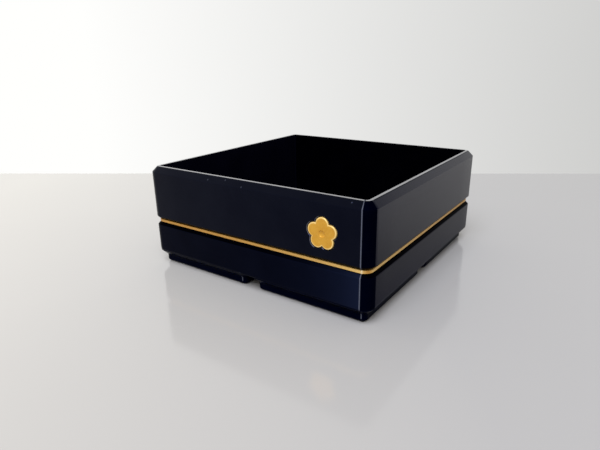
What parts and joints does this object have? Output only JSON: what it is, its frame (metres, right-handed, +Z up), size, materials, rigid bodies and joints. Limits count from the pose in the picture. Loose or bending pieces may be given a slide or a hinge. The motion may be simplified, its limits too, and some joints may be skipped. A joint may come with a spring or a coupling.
{
  "type": "storage bin",
  "caption": "Square open-top printed storage bin with grid feet, a recessed gold band round its waist, a chamfered rim and a small gold inlay on the front.",
  "frame": {"origin": "middle of the footprint, on the surface under the soles of the feet", "axes": "+Z up through the open top, -Y out of the front wall that carries the inlay, +X to the right of that wall"},
  "size_m": [0.0834, 0.0835, 0.0342],
  "materials": {
    "tray_black": "satin black printed plastic, fine layer lines",
    "frame_black": "satin black printed plastic, fine layer lines",
    "band_gold": "silky gold printed plastic",
    "inlay_gold": "silky gold printed plastic"
  },
  "bodies": {
    "root": {"lower_tray": "tray_black", "gold_band": "band_gold", "upper_frame": "frame_black", "inlay": "inlay_gold"}
  },
  "joints": []
}
